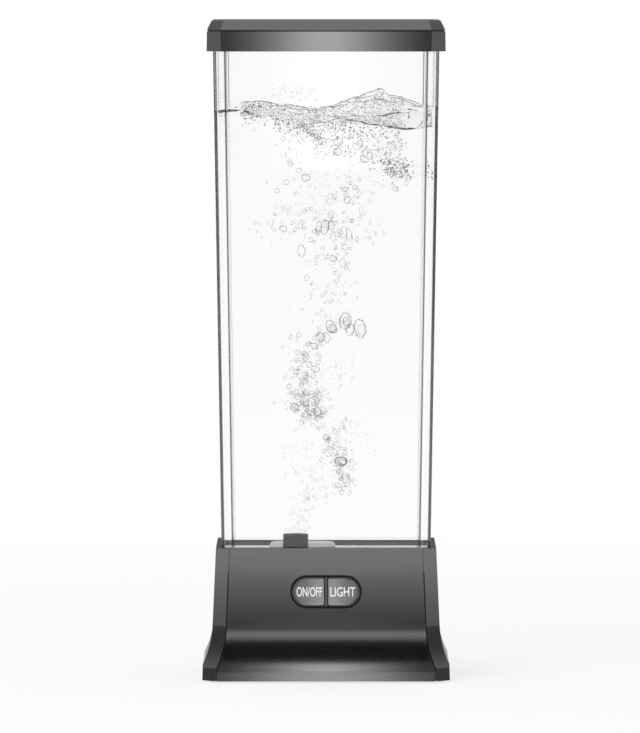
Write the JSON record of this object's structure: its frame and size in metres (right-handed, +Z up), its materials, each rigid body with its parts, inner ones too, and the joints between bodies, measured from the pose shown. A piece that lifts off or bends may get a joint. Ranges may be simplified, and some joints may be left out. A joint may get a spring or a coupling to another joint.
{
  "type": "bubble water lamp",
  "caption": "Table lamp with a tall clear water tank on a flared charcoal base that holds a pump, a light and push buttons, under a lift-off lid.",
  "frame": {"origin": "on the table, under the middle of the lamp", "axes": "+Z up, the buttons face -Y, +X to the right of someone facing the buttons"},
  "size_m": [0.1142, 0.084, 0.3048],
  "materials": {
    "charcoal_plastic": "semi-gloss moulded, fine texture",
    "clear_plastic": "clear polished acrylic",
    "button_plastic": "semi-gloss moulded",
    "pump_grey": "matte moulded",
    "nozzle_plastic": "matte moulded",
    "white_plastic": "translucent milky",
    "silicone": "soft translucent",
    "foot_rubber": "matte",
    "screw_steel": "bright zinc",
    "motor_steel": "drawn can",
    "magnet_nickel": "nickel plated",
    "circuit_board": "white solder mask",
    "led_white": "moulded lens",
    "black_plastic": "matte moulded",
    "contact_brass": "polished",
    "wire_insulation": "smooth insulation"
  },
  "bodies": {
    "base": {"base_shell": "charcoal_plastic", "front_panel": "charcoal_plastic", "bottom_cover": "charcoal_plastic", "button_frame": "charcoal_plastic", "tank": "clear_plastic", "pump_cover": "pump_grey", "nozzle": "nozzle_plastic", "diffuser": "white_plastic", "motor_tower": "white_plastic", "tank_gasket": "silicone", "rubber_feet": "foot_rubber", "cover_screws": "screw_steel", "tower_screws": "screw_steel", "light_board_screws": "screw_steel", "switch_board_screws": "screw_steel", "control_board_screws": "screw_steel", "impeller_pin": "screw_steel", "socket_nut": "screw_steel", "pump_motor": "motor_steel", "led_board": "circuit_board", "switch_board": "circuit_board", "control_board": "circuit_board", "leds": "led_white", "power_socket": "black_plastic", "push_switches": "black_plastic", "control_chip": "black_plastic", "capacitor": "black_plastic", "power_pin": "contact_brass", "motor_leads": "wire_insulation", "light_leads": "wire_insulation", "switch_leads": "wire_insulation", "power_leads": "wire_insulation"},
    "lid": {"lid": "charcoal_plastic", "lid_seal": "silicone"},
    "on_off_button": {"on_off_button": "button_plastic", "on_off_plunger": "black_plastic"},
    "light_button": {"light_button": "button_plastic", "light_plunger": "black_plastic"},
    "rotor": {"motor_shaft": "screw_steel", "drive_disc": "white_plastic", "drive_magnets": "magnet_nickel"},
    "impeller": {"impeller": "white_plastic", "impeller_magnets": "magnet_nickel"}
  },
  "joints": [
    {"name": "lid_lift", "type": "slide", "parent": "base", "child": "lid", "axis": [0, 0, 1], "range_m": [0, 0.04]},
    {"name": "on_off_press", "type": "slide", "parent": "base", "child": "on_off_button", "axis": [0, 0.9989, -0.0462], "range_m": [0, 0.0005], "stiffness_N_per_m": 200, "springref_m": -0.003},
    {"name": "light_press", "type": "slide", "parent": "base", "child": "light_button", "axis": [0, 0.9989, -0.0462], "range_m": [0, 0.0005], "stiffness_N_per_m": 200, "springref_m": -0.003},
    {"name": "motor_spin", "type": "hinge", "parent": "base", "child": "rotor", "pos_m": [-0.0109, 0, 0.041], "axis": [0, 0, 1], "continuous": true},
    {"name": "impeller_spin", "type": "hinge", "parent": "base", "child": "impeller", "pos_m": [-0.0109, 0, 0.05], "axis": [0, 0, 1], "continuous": true}
  ],
  "couplings": [
    {"joint": "impeller_spin", "follows": "motor_spin", "ratio": 1}
  ]
}
